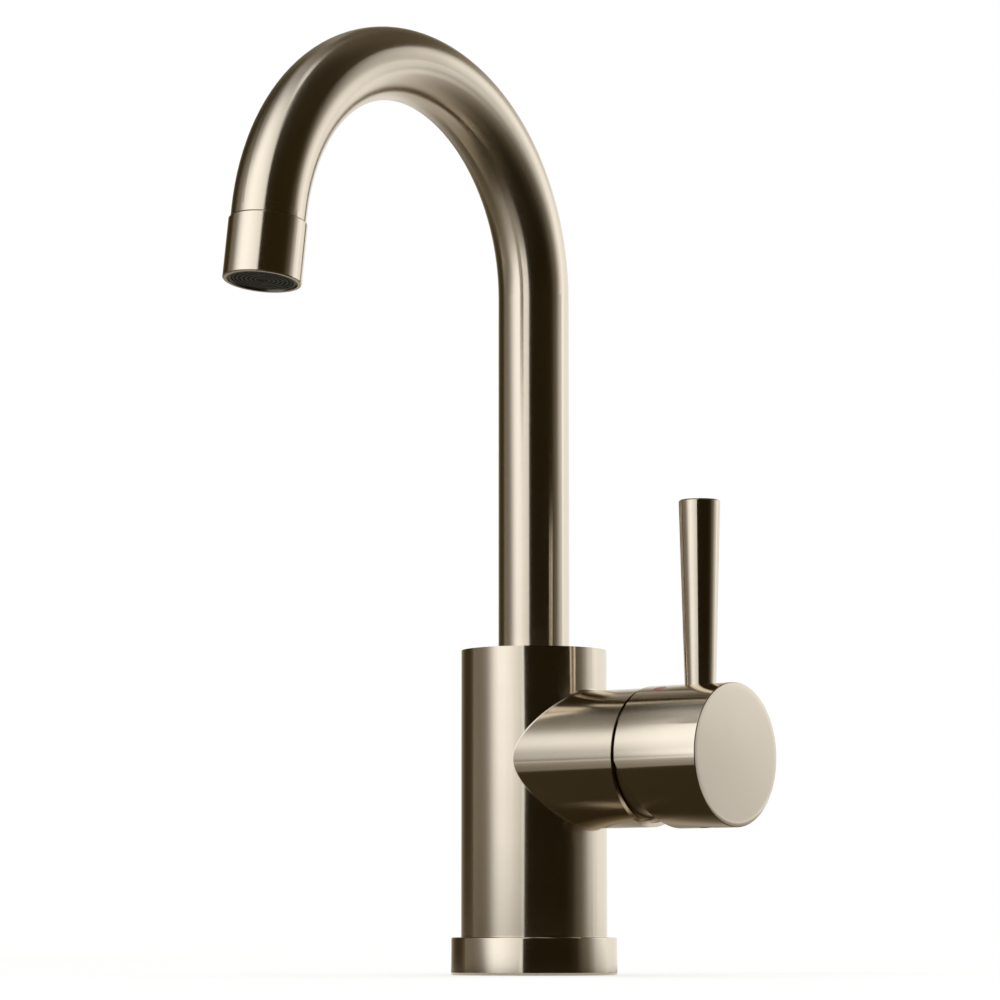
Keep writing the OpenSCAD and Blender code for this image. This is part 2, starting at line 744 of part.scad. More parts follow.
tap_body();
base_ring();
base_gasket();
ring_seal();
spout_bush();
spout_stop_screw();
cartridge_housing();
cartridge_base();
port_seals();
disc_seals();
fixed_disc();
cartridge_nut();
cartridge_cover();
spout_tube();
spout_spigot();
spout_seals();
outlet_nipple();
aerator_sleeve();
aerator_washer();
aerator_strainer();
aerator_body();
aerator_grille();
stem_carrier();
stem_pin();
moving_disc();
disc_driver();
stem();
handle_insert();
handle_cap();
handle_screw();
lever_pin();
hot_mark();
cold_mark();
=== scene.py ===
"""Looks for the basin mixer tap: a satin champagne tap in a plain white studio."""
import math

import bpy
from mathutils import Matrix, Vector


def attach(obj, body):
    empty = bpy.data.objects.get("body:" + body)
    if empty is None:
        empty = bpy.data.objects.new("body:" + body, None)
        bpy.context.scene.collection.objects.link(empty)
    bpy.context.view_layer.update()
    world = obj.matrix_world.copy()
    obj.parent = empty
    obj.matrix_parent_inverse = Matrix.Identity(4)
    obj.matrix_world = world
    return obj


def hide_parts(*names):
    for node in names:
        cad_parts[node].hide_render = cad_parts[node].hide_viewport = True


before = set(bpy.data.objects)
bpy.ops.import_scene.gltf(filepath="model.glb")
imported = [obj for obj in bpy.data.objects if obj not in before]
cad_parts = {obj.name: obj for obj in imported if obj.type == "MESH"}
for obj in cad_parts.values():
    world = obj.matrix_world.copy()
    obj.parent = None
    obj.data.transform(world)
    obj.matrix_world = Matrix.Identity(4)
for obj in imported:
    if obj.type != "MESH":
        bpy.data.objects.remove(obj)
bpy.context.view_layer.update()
bpy.ops.object.select_all(action="DESELECT")

# Finishes, as linear colours
CHAMPAGNE = (0.800, 0.715, 0.590)
GLANCING_TINT = (0.93, 0.92, 0.9)
BRASS = (0.640, 0.430, 0.170)
STEEL = (0.520, 0.515, 0.500)
RUBBER = (0.012, 0.012, 0.012)
BLACK = (0.010, 0.010, 0.010)
GRILLE_BLACK = (0.009, 0.008, 0.006)
# The ridge crests' paler grey is a painted highlight, for the light their edges catch.
RIDGE_HIGHLIGHT_GREY = (0.115, 0.102, 0.080)
IVORY = (0.720, 0.690, 0.600)
GREY = (0.300, 0.300, 0.290)
CERAMIC = (0.840, 0.810, 0.740)
RED = (0.330, 0.050, 0.060)
BLUE = (0.030, 0.100, 0.360)

# The tap's own measures, in metres
COLUMN_R = 0.0225
BOSS_R = 0.021
BOSS_Z = 0.0654
RING_R = 0.02555
RING_TOP = 0.0115
RING_BEVEL = 0.0008
HUB_FRONT = 0.076
HUB_FLAT_R = 0.02135                    # the hub's face inside its front bevel
POLISHED_FROM = 0.07558                 # the hub is polished in front of this
LEVER_X = 0.0629
BEND_R = 0.0628
BEND_Z = 0.2102
BEND = math.radians(172)
OUTWARD = Vector((0, -math.sin(BEND), math.cos(BEND)))      # the way the water leaves
BEND_END = Vector((0, -BEND_R + BEND_R * math.cos(BEND), BEND_Z + BEND_R * math.sin(BEND)))
TAIL = 0.0025                           # the tube's straight end after the bend
OUTLET = BEND_END + TAIL * OUTWARD      # where the sleeve joins the tube
GRILLE_FACE = 0.01765                   # how far the grille's face is past the outlet
RIDGE_HEIGHT = 0.00015
RIDGE_HIGHLIGHT_FROM = 0.0177                    # past this, only the grille's ridge crests stand out; they get the painted highlight

# The grain
LINES_PER_METRE = 2600
CLOUDS_PER_METRE = 60
SKIN_PER_METRE = 900
ALONG = 0.04                            # how little the lines change along themselves
SPOKE_SCALE = (50, 50, 50)              # brings a spoke of 20 mm to the axis's length of 1
GRAIN_DEPTH = 0.00002


# ---------------------------------------------------------------- materials
def new_material(name):
    """A new material with its nodes, its links and its shader."""
    material = bpy.data.materials.new(name)
    material.use_nodes = True
    nodes = material.node_tree.nodes
    return material, nodes, material.node_tree.links, nodes["Principled BSDF"]


def noise(nodes, links, scale, detail, place=None):
    """Noise on the given place, or else on the piece's own coordinates."""
    texture = nodes.new("ShaderNodeTexNoise")
    texture.inputs["Scale"].default_value = scale
    texture.inputs["Detail"].default_value = detail
    if place is None:
        place = nodes.new("ShaderNodeTexCoord").outputs["Object"]
    links.new(place, texture.inputs["Vector"])
    return texture.outputs["Fac"]


def spread(nodes, links, source, low, high):
    """The source's middle range drawn out between two values."""
    node = nodes.new("ShaderNodeMapRange")
    node.inputs["From Min"].default_value = 0.3
    node.inputs["From Max"].default_value = 0.7
    node.inputs["To Min"].default_value = low
    node.inputs["To Max"].default_value = high
    links.new(source, node.inputs["Value"])
    return node.outputs["Result"]


def bump(nodes, links, shader, height, strength):
    """Lets a height disturb the shader's surface by a hair."""
    node = nodes.new("ShaderNodeBump")
    node.inputs["Strength"].default_value = strength
    node.inputs["Distance"].default_value = GRAIN_DEPTH
    links.new(height, node.inputs["Height"])
    links.new(node.outputs["Normal"], shader.inputs["Normal"])


def feed(links, inputs, values):
    """Gives inputs their values in turn: sockets are linked, and the others are set."""
    for socket, value in zip(inputs, values):
        if isinstance(value, bpy.types.NodeSocket):
            links.new(value, socket)
        else:
            socket.default_value = value


def vectors(nodes, links, operation, *values):
    """A Vector Math node on sockets or constants."""
    node = nodes.new("ShaderNodeVectorMath")
    node.operation = operation
    feed(links, node.inputs, values)
    single = operation in ("LENGTH", "DOT_PRODUCT")
    return node.outputs["Value" if single else "Vector"]


def numbers(nodes, links, operation, *values):
    """A Math node on sockets or constants."""
    node = nodes.new("ShaderNodeMath")
    node.operation = operation
    feed(links, node.inputs, values)
    return node.outputs[0]


def letter_only(nodes, links, letter, value):
    """A vector that has the value in one part and 0 in the others."""
    node = nodes.new("ShaderNodeCombineXYZ")
    links.new(value, node.inputs[letter])
    return node.outputs[0]


def shine_along(nodes, links, axis, spoke):
    """The way in which the shine is drawn out: along the axis, or along the spoke on an end."""
    return vectors(nodes, links, "ADD", axis,
                   vectors(nodes, links, "MULTIPLY", spoke, SPOKE_SCALE))


def turned(axis, middle):
    """The lay of a piece turned about an axis: its brush lines run round it, on its ends too."""
    across = tuple(1 - part for part in axis)
    letter = "XYZ"[axis.index(1)]

    def lay(nodes, links, place):
        spoke = vectors(nodes, links, "MULTIPLY",
                        vectors(nodes, links, "SUBTRACT", place, middle), across)
        radius = letter_only(nodes, links, letter, vectors(nodes, links, "LENGTH", spoke))
        stretched = tuple(part + ALONG * (1 - part) for part in axis)
        lines = vectors(nodes, links, "ADD", radius,
                        vectors(nodes, links, "MULTIPLY", place, stretched))
        return shine_along(nodes, links, axis, spoke), lines, None
    return lay


upright = turned((0, 0, 1), (0, 0, 0))
sideways = turned((1, 0, 0), (0, 0, BOSS_Z))
round_the_lever = turned((0, 0, 1), (LEVER_X, 0, 0))


def round_the_outlet(nodes, links, place):
    """The sleeve's lay: round the outlet's axis, on its rim too."""
    from_outlet = vectors(nodes, links, "SUBTRACT", place, OUTLET)
    along = vectors(nodes, links, "PROJECT", from_outlet, OUTWARD)
    spoke = vectors(nodes, links, "SUBTRACT", from_outlet, along)
    radius = letter_only(nodes, links, "X", vectors(nodes, links, "LENGTH", spoke))
    lines = vectors(nodes, links, "ADD", radius, along)
    return shine_along(nodes, links, OUTWARD, spoke), lines, None


def beyond(nodes, links, place, part, limit):
    """1 where the length of the place's part is beyond the limit, else 0."""
    length = vectors(nodes, links, "LENGTH", vectors(nodes, links, "MULTIPLY", place, part))
    return numbers(nodes, links, "GREATER_THAN", length, limit)


def either(nodes, links, mask, first, second):
    """The first vector where the mask is 0, the second where it is 1."""
    mix = nodes.new("ShaderNodeMix")
    mix.data_type = "VECTOR"
    links.new(mask, mix.inputs["Factor"])
    feed(links, mix.inputs[4:6], (first, second))
    return mix.outputs[1]


def column_and_boss(nodes, links, place):
    """The casting's lay: round the column, and round the boss where it stands clear of that."""
    way, lines, _ = upright(nodes, links, place)
    boss_way, boss_lines, _ = sideways(nodes, links, place)
    clear_of_column = COLUMN_R + 0.00003
    mask = beyond(nodes, links, place, (1, 1, 0), clear_of_column)
    return (either(nodes, links, mask, way, boss_way),
            either(nodes, links, mask, lines, boss_lines), mask)


def hub_and_face(nodes, links, place):
    """The hub's lay: round its side, and straight up its polished face."""
    side, round_lines, _ = sideways(nodes, links, place)
    mask = beyond(nodes, links, place, (1, 0, 0), POLISHED_FROM)
    upright_lines = vectors(nodes, links, "MULTIPLY", place, (0, 1, ALONG))
    return (either(nodes, links, mask, side, (0, 1, 0)),
            either(nodes, links, mask, round_lines, upright_lines), mask)


def bent(nodes, links, place):
    """The spout's lay: round the tube, all along its bend."""
    from_middle = vectors(nodes, links, "SUBTRACT", place, (0, -BEND_R, BEND_Z))
    # Below the bend, the spoke stays level, and the straight part's height counts instead
    spoke = vectors(nodes, links, "MAXIMUM", from_middle, (-1, -1, 0))
    below = vectors(nodes, links, "MINIMUM", from_middle, (1, 1, 0))
    parts = nodes.new("ShaderNodeSeparateXYZ")
    links.new(spoke, parts.inputs[0])
    turn = numbers(nodes, links, "ARCTAN2", parts.outputs["Z"], parts.outputs["Y"])
    length = vectors(nodes, links, "MULTIPLY", letter_only(nodes, links, "Z", turn),
                     (0, 0, BEND_R))
    lines = vectors(nodes, links, "ADD", length,
                    vectors(nodes, links, "MULTIPLY", below, (ALONG, 0, 1)))
    return vectors(nodes, links, "CROSS_PRODUCT", (1, 0, 0), spoke), lines, None


def brushed_metal(name, colour, rough, lay, drawn_out=0.95, rough_in_mask=None):
    """Satin metal: fine lines as the lay gives them, and a shine drawn out across them. Where
    the lay gives a mask, the metal there can have a roughness of its own."""
    uneven = 0.012
    material, nodes, links, shader = new_material(name)
    shader.inputs["Base Color"].default_value = (*colour, 1)
    shader.inputs["Metallic"].default_value = 1
    shader.inputs["Specular Tint"].default_value = (*GLANCING_TINT, 1)
    shader.inputs["Anisotropic"].default_value = drawn_out
    place = nodes.new("ShaderNodeTexCoord").outputs["Object"]
    way, line_place, mask = lay(nodes, links, place)
    turn = nodes.new("ShaderNodeVectorTransform")
    turn.convert_from = "OBJECT"
    turn.convert_to = "WORLD"
    links.new(way, turn.inputs[0])
    links.new(turn.outputs[0], shader.inputs["Tangent"])
    lines = noise(nodes, links, LINES_PER_METRE, detail=3, place=line_place)
    clouds = noise(nodes, links, CLOUDS_PER_METRE, detail=3)
    roughness = numbers(nodes, links, "ADD", spread(nodes, links, lines, -uneven, uneven),
                        spread(nodes, links, clouds, rough - uneven, rough + uneven))
    if rough_in_mask is not None:
        roughness = numbers(nodes, links, "MULTIPLY_ADD", mask, rough_in_mask - rough, roughness)
    links.new(roughness, shader.inputs["Roughness"])
    bump(nodes, links, shader, lines, strength=0.05)
    return material


def plain(name, colour, rough, sheen=0.0):
    """Moulded, rubbery or fired material with a fine mottled skin."""
    uneven = 0.06
    material, nodes, links, shader = new_material(name)
    skin = noise(nodes, links, SKIN_PER_METRE, detail=4)
    tint = nodes.new("ShaderNodeMixRGB")
    darker, lighter = 0.88, 1.1
    tint.inputs["Color1"].default_value = (*[part * darker for part in colour], 1)
    tint.inputs["Color2"].default_value = (*[min(part * lighter, 1) for part in colour], 1)
    links.new(skin, tint.inputs["Fac"])
    links.new(tint.outputs["Color"], shader.inputs["Base Color"])
    links.new(spread(nodes, links, skin, rough - uneven, rough + uneven),
              shader.inputs["Roughness"])
    shader.inputs["Sheen Weight"].default_value = sheen
    bump(nodes, links, shader, skin, strength=0.2)
    return material


def ridged(name, colour, highlight_colour):
    """Dull plastic with a painted highlight: its colour is paler on the grille's ridge crests."""
    material = plain(name, colour, 0.55)
    nodes, links = material.node_tree.nodes, material.node_tree.links
    shader = nodes["Principled BSDF"]
    shader.inputs["Specular IOR Level"].default_value = 0.12
    place = nodes.new("ShaderNodeTexCoord").outputs["Object"]
    outward = vectors(nodes, links, "DOT_PRODUCT",
                      vectors(nodes, links, "SUBTRACT", place, OUTLET), OUTWARD)
    # The paler colour on the ridge crests is a painted highlight.
    mix = nodes.new("ShaderNodeMixRGB")
    links.new(numbers(nodes, links, "GREATER_THAN", outward, RIDGE_HIGHLIGHT_FROM), mix.inputs["Fac"])
    links.new(shader.inputs["Base Color"].links[0].from_socket, mix.inputs["Color1"])
    mix.inputs["Color2"].default_value = (*highlight_colour, 1)
    links.new(mix.outputs["Color"], shader.inputs["Base Color"])
    return material


champagne_casting = brushed_metal("champagne_casting", CHAMPAGNE, 0.15, column_and_boss)
champagne_ring = brushed_metal("champagne_ring", CHAMPAGNE, 0.13, upright, drawn_out=0.85)
champagne_hub = brushed_metal("champagne_hub", CHAMPAGNE, 0.15, hub_and_face,
                              rough_in_mask=0.17)
champagne_cover = brushed_metal("champagne_cover", CHAMPAGNE, 0.2, sideways)
champagne_lever = brushed_metal("champagne_lever", CHAMPAGNE, 0.17, round_the_lever)
champagne_spout = brushed_metal("champagne_spout", CHAMPAGNE, 0.2, bent)
champagne_sleeve = brushed_metal("champagne_sleeve", CHAMPAGNE, 0.18, round_the_outlet)
brass = brushed_metal("turned_brass", BRASS, 0.28, upright)
steel = brushed_metal("turned_steel", STEEL, 0.25, upright)
black_plastic = plain("black_plastic", BLACK, 0.32)
ringed_black = ridged("ringed_black", GRILLE_BLACK, RIDGE_HIGHLIGHT_GREY)
ivory_plastic = plain("ivory_plastic", IVORY, 0.42)
grey_plastic = plain("grey_plastic", GREY, 0.45)
rubber = plain("black_rubber", RUBBER, 0.62, sheen=0.1)
ceramic = plain("fired_ceramic", CERAMIC, 0.24)
red_enamel = plain("red_enamel", RED, 0.2)
blue_enamel = plain("blue_enamel", BLUE, 0.2)

FINISH = {
    champagne_casting: ["tap_body"],
    champagne_ring: ["base_ring"],
    champagne_hub: ["handle_cap"],
    champagne_cover: ["cartridge_cover"],
    champagne_lever: ["lever_pin"],
    champagne_spout: ["spout_tube"],
    champagne_sleeve: ["aerator_sleeve"],
    brass: ["spout_spigot", "outlet_nipple", "cartridge_nut"],
    steel: ["spout_stop_screw", "stem", "stem_pin", "handle_screw", "aerator_strainer"],
    black_plastic: ["aerator_body", "aerator_grille"],
    ivory_plastic: ["spout_bush", "disc_driver", "stem_carrier"],
    grey_plastic: ["handle_insert", "cartridge_housing", "cartridge_base"],
    rubber: ["base_gasket", "ring_seal", "port_seals", "disc_seals", "spout_seals",
             "aerator_washer"],
    ceramic: ["fixed_disc", "moving_disc"],
    red_enamel: ["hot_mark"],
    blue_enamel: ["cold_mark"],
}
for finish, names in FINISH.items():
    for node in names:
        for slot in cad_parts[node].material_slots:
            slot.material = finish


# ---------------------------------------------------------------- pieces
def spot_on(piece, kind, test):
    """Selects the piece's corners, edges or faces whose middle passes a test, in edit mode."""
    if bpy.context.mode != "OBJECT":
        bpy.ops.object.mode_set(mode="OBJECT")
    bpy.ops.object.select_all(action="DESELECT")
    bpy.context.view_layer.objects.active = piece
    piece.select_set(True)
    bpy.ops.object.mode_set(mode="EDIT")
    bpy.ops.mesh.select_mode(type=kind)
    bpy.ops.mesh.select_all(action="DESELECT")
    bpy.ops.object.mode_set(mode="OBJECT")
    mesh = piece.data
    if kind == "VERT":
        for corner in mesh.vertices:
            corner.select = test(corner.co)
    elif kind == "EDGE":
        for edge in mesh.edges:
            first, second = (mesh.vertices[index].co for index in edge.vertices)
            edge.select = test((first + second) / 2)
    else:
        for face in mesh.polygons:
            face.select = test(face.center)
    bpy.ops.object.mode_set(mode="EDIT")


def merged_copy(name, node):
    """A copy of a CAD node with its corners joined and its flat faces whole, to be worked on."""
    piece = bpy.data.objects.new(name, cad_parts[node].data.copy())
    bpy.context.scene.collection.objects.link(piece)
    spot_on(piece, "VERT", lambda place: True)
    bpy.ops.mesh.customdata_custom_splitnormals_clear()
    bpy.ops.mesh.remove_doubles(threshold=0.000001)
    bpy.ops.mesh.dissolve_limited(angle_limit=math.radians(0.5))
    return piece


def finished(piece, body, smooth=30, instead_of=None):
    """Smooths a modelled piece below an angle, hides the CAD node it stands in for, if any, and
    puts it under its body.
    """
    if bpy.context.mode != "OBJECT":
        bpy.ops.object.mode_set(mode="OBJECT")
    bpy.ops.object.shade_smooth_by_angle(angle=math.radians(smooth))
    piece.select_set(False)
    if instead_of:
        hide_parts(instead_of)
    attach(piece, body)


def domed_hub():
    """The hub with its polished face a little domed and its front edge eased."""
    dome = 0.00033
    rings = 12
    hair = 0.00001
    bevel_depth = 0.0002
    behind_bevel = 0.0003
    rim = HUB_FLAT_R - 0.00005
    front = HUB_FRONT - dome            # where the face's edge comes to stand
    hub = merged_copy("domed_hub", "handle_cap")
    spot_on(hub, "VERT", lambda place: place.x > HUB_FRONT - behind_bevel)
    bpy.ops.transform.translate(value=(-dome, 0, 0))
    spot_on(hub, "FACE", lambda place: place.x > front - 2 * hair)
    bpy.ops.mesh.dissolve_faces()
    step = rim / (rings + 0.5)
    for ring in range(rings):
        outer = HUB_FLAT_R - ring * step
        inner = outer - step
        rise = dome * (outer ** 2 - inner ** 2) / HUB_FLAT_R ** 2
        bpy.ops.mesh.inset(thickness=step, depth=rise)
    spot_on(hub, "EDGE", lambda place: math.hypot(place.y, place.z - BOSS_Z) > rim and (
        abs(place.x - front) < hair or abs(place.x - front + bevel_depth) < hair))
    bpy.ops.mesh.bevel(offset=0.00008, segments=2, affect="EDGES")
    finished(hub, "handle", instead_of="handle_cap")


def eased_ring():
    """The base ring with a finer bevel, whose corners are eased."""
    hair = 0.0001
    foot, corner = RING_TOP - RING_BEVEL, RING_R - RING_BEVEL
    finer_foot = foot + 0.0005
    lean, wider = 0.9982, 1.0199
    edge = 0.0251                       # outside this, there are only the bevel's two edges
    ring = merged_copy("eased_ring", "base_ring")

    def out(place):
        return math.hypot(place.x, place.y)
    spot_on(ring, "VERT", lambda place: out(place) > RING_R - hair and place.z > foot - hair)
    bpy.ops.transform.translate(value=(0, 0, finer_foot - foot))
    bpy.ops.transform.resize(value=(lean, lean, 1), center_override=(0, 0, finer_foot))
    spot_on(ring, "VERT", lambda place: abs(out(place) - corner) < hair
            and place.z > RING_TOP - hair)
    bpy.ops.transform.resize(value=(wider, wider, 1), center_override=(0, 0, RING_TOP))
    spot_on(ring, "EDGE", lambda place: out(place) > edge and min(
        abs(place.z - RING_TOP), abs(place.z - finer_foot)) < hair / 10)
    bpy.ops.mesh.bevel(offset=0.0001, segments=2, affect="EDGES")
    finished(ring, "tap", instead_of="base_ring")


def saddle_fillet():
    """The hollow between the boss and the column, as a ball rolling in the corner leaves it."""
    ball = 0.0007
    bpy.ops.mesh.primitive_grid_add(x_subdivisions=240, y_subdivisions=8, size=2)
    fillet = bpy.context.object
    fillet.name = "saddle_fillet"
    for corner in fillet.data.vertices:
        turn = math.pi * (corner.co.x + 1)
        share = (corner.co.y + 1) / 2
        y, z = (BOSS_R + ball) * math.sin(turn), (BOSS_R + ball) * math.cos(turn)
        x = math.sqrt((COLUMN_R + ball) ** 2 - y ** 2)
        to_column = Vector((-x, -y, 0)).normalized()
        to_boss = Vector((0, -math.sin(turn), -math.cos(turn)))
        corner.co = Vector((x, y, BOSS_Z + z)) + to_column.slerp(to_boss, share) * ball
    spot_on(fillet, "VERT", lambda place: True)
    bpy.ops.mesh.remove_doubles(threshold=0.000001)
    bpy.ops.mesh.normals_make_consistent(inside=False)
    bpy.ops.object.mode_set(mode="OBJECT")
    shell = fillet.modifiers.new("shell", "SOLIDIFY")
    shell.thickness = 0.0006
    shell.offset = -1
    bpy.ops.object.modifier_apply(modifier="shell")
    fillet.data.materials.append(champagne_casting)
    finished(fillet, "tap", smooth=40)


def outlet_cup():
    """The aerator's cup with its mouth brought nearer to the sleeve's rim."""
    mouth, forward = 0.0174, 0.0004
    cup = merged_copy("outlet_cup", "aerator_body")
    spot_on(cup, "VERT", lambda place: (place - OUTLET).dot(OUTWARD) > mouth)
    bpy.ops.transform.translate(value=OUTWARD * forward)
    finished(cup, "spout", instead_of="aerator_body")


def ringed_grille():
    """The grille as a turned plate with ridges in rings, close behind the sleeve's rim."""
    edge, back = 0.0090, 0.0146
    crest, foot = 0.00012, 0.00018      # half the width of a ridge, above and below
    top = GRILLE_FACE + RIDGE_HEIGHT
    profile = [(0, GRILLE_FACE)]
    for radius in (0.0021, 0.0034, 0.0047, 0.0060, 0.0073, 0.0085):
        profile += [(radius - foot, GRILLE_FACE), (radius - crest, top),
                    (radius + crest, top), (radius + foot, GRILLE_FACE)]
    profile += [(edge, GRILLE_FACE), (edge, back), (0, back)]
    points = [OUTLET + Vector((radius, 0, 0)) + OUTWARD * way for radius, way in profile]
    bpy.ops.object.select_all(action="DESELECT")
    bpy.ops.mesh.primitive_plane_add(size=0.001)
    grille = bpy.context.object
    grille.name = "ringed_grille"
    spot_on(grille, "VERT", lambda place: True)
    bpy.ops.mesh.merge(type="CENTER")
    bpy.ops.transform.translate(value=points[0])
    for first, second in zip(points, points[1:]):
        bpy.ops.mesh.extrude_region_move(TRANSFORM_OT_translate={"value": second - first})
    bpy.ops.mesh.select_all(action="SELECT")
    bpy.ops.mesh.spin(steps=96, angle=2 * math.pi, center=OUTLET, axis=OUTWARD)
    bpy.ops.mesh.select_all(action="SELECT")
    bpy.ops.mesh.remove_doubles(threshold=0.000002)
    bpy.ops.mesh.normals_make_consistent(inside=False)
    grille.data.materials.append(ringed_black)
    finished(grille, "spout", instead_of="aerator_grille")


domed_hub()
eased_ring()
saddle_fillet()
outlet_cup()
ringed_grille()


# ---------------------------------------------------------------- studio
def white_to_the_eye(tree, lit, shown):
    """Mixes two shaders: lit for the light it gives, shown for camera, gloss and glass."""
    path = tree.nodes.new("ShaderNodeLightPath")
    seen = numbers(tree.nodes, tree.links, "MAXIMUM",
                   path.outputs["Is Camera Ray"], path.outputs["Is Glossy Ray"])
    seen = numbers(tree.nodes, tree.links, "MAXIMUM", seen, path.outputs["Is Transmission Ray"])
    mix = tree.nodes.new("ShaderNodeMixShader")
    tree.links.new(seen, mix.inputs["Fac"])
    tree.links.new(lit, mix.inputs[1])
    tree.links.new(shown, mix.inputs[2])
    return mix.outputs[0]


def empty_material(name):
    """A material without a shader, and its node tree."""
    material = bpy.data.materials.new(name)
    material.use_nodes = True
    tree = material.node_tree
    tree.nodes.remove(tree.nodes["Principled BSDF"])
    return material, tree


def white_room():
    """A white world whose light on matt things is a little warm."""
    world = bpy.data.worlds.new("white_room")
    world.use_nodes = True
    bpy.context.scene.world = world
    tree = world.node_tree
    soft = tree.nodes["Background"]
    soft.inputs["Color"].default_value = (1, 0.99, 0.97, 1)
    soft.inputs["Strength"].default_value = 0.95
    white = tree.nodes.new("ShaderNodeBackground")
    white.inputs["Color"].default_value = (1, 1, 1, 1)
    white.inputs["Strength"].default_value = 1
    out = white_to_the_eye(tree, soft.outputs[0], white.outputs[0])
    tree.links.new(out, tree.nodes["World Output"].inputs["Surface"])


def white_floor():
    """A matt floor that glows just enough to look white and still shows the tap's shadow."""
    bpy.ops.mesh.primitive_circle_add(vertices=96, radius=8, fill_type="NGON")
    floor = bpy.context.object
    floor.name = "white_floor"
    material, tree = empty_material("white_floor")
    matt = tree.nodes.new("ShaderNodeBsdfDiffuse")
    matt.inputs["Color"].default_value = (0.5, 0.5, 0.5, 1)
    glow = tree.nodes.new("ShaderNodeEmission")
    glow.inputs["Strength"].default_value = 0.57
    both = tree.nodes.new("ShaderNodeAddShader")
    tree.links.new(matt.outputs[0], both.inputs[0])
    tree.links.new(glow.outputs[0], both.inputs[1])
    out = white_to_the_eye(tree, matt.outputs[0], both.outputs[0])
    tree.links.new(out, tree.nodes["Material Output"].inputs["Surface"])
    floor.data.materials.append(material)


def grey(value, warmth=0.0):
    """A grey of the given value, warmer where warmth is more than 0."""
    return (value, value * (1 - 0.5 * warmth), value * (1 - min(1.25 * warmth, 0.8)))


def span(tones):
    """The first and the last place of a list of tones."""
    return tones[0][0], tones[-1][0]


def ramp(tree, source, tones, bend=1):
    """A colour ramp from tones, each a place, a grey and maybe a warmth, in order of place."""
    low, high = span(tones)
    node = tree.nodes.new("ShaderNodeValToRGB")
    elements = node.color_ramp.elements
    while len(elements) < len(tones):
        elements.new(0.5)
    for element, (place, *tone) in zip(elements, tones):
        element.position = ((place - low) / (high - low)) ** bend
        element.color = (*grey(*tone), 1)
    tree.links.new(source, node.inputs["Fac"])
    return node.outputs["Color"]


def toward(azimuth, elevation, distance):
    """A point seen from the tap: azimuth 0 is in front of the spout, 90 is on the lever's side."""
    a, e = math.radians(azimuth), math.radians(elevation)
    return Vector((math.sin(a) * math.cos(e), -math.cos(a) * math.cos(e), math.sin(e))) * distance


def card(name, across, upward, place, strength=1.0, bend=1, lights=False):
    """A glowing card that the camera doesn't see. Its tones across are multiplied by those
    upward, and place gives a point for each share across and up."""
    material, tree = empty_material(name)
    split = tree.nodes.new("ShaderNodeSeparateXYZ")
    tree.links.new(tree.nodes.new("ShaderNodeUVMap").outputs["UV"], split.inputs["Vector"])
    product = tree.nodes.new("ShaderNodeMixRGB")
    product.blend_type = "MULTIPLY"
    product.inputs["Fac"].default_value = 1
    tree.links.new(ramp(tree, split.outputs["X"], across), product.inputs["Color1"])
    tree.links.new(ramp(tree, split.outputs["Y"], upward, bend), product.inputs["Color2"])
    glow = tree.nodes.new("ShaderNodeEmission")
    glow.inputs["Strength"].default_value = strength
    tree.links.new(product.outputs["Color"], glow.inputs["Color"])
    tree.links.new(glow.outputs[0], tree.nodes["Material Output"].inputs["Surface"])
    bpy.ops.mesh.primitive_grid_add(x_subdivisions=64, y_subdivisions=24, size=2)
    piece = bpy.context.object
    piece.name = name
    for vertex in piece.data.vertices:
        vertex.co = place((vertex.co.x + 1) / 2, (vertex.co.y + 1) / 2)
    piece.data.materials.append(material)
    piece.visible_camera = False
    piece.visible_shadow = False
    piece.visible_diffuse = lights


MIDDLE = Vector((0, -0.03, 0.13))       # what the cards stand round
WALL_DISTANCE = 2


def wall(name, across, upward):
    """A curved wall, with its tones by azimuth and by elevation, in degrees."""
    (a0, a1), (e0, e1) = span(across), span(upward)

    def place(u, v):
        return MIDDLE + toward(a0 + u * (a1 - a0), e0 + v * (e1 - e0), WALL_DISTANCE)
    card(name, across, upward, place)


def table(name, height, across, outward):
    """A flat ring on the floor, with its tones by azimuth and by metres from the tap. Its rows
    of faces are closer near the tap, which the bend makes up for."""
    (a0, a1), (r0, r1) = span(across), span(outward)

    def place(u, v):
        return toward(a0 + u * (a1 - a0), 0, r0 + v * v * (r1 - r0)) + Vector((0, 0, height))
    card(name, across, outward, place, bend=0.5)


def waist(rise):
    """How wide the lit spot is at a height on the scrim."""
    widths = ((-1, 0.78), (-0.08, 0.78), (0.05, 0.83), (0.12, 0.84), (0.2, 0.87), (0.3, 0.95),
              (0.42, 1.06), (0.55, 1.17), (0.65, 1.12), (0.74, 1.02), (0.82, 0.86),
              (0.93, 0.69), (1.08, 0.58), (1.25, 0.54), (1.45, 0.7), (1.9, 1.0), (9, 1.0))
    for (low, first), (high, second) in zip(widths, widths[1:]):
        if rise < high:
            return first + (second - first) * (rise - low) / (high - low)


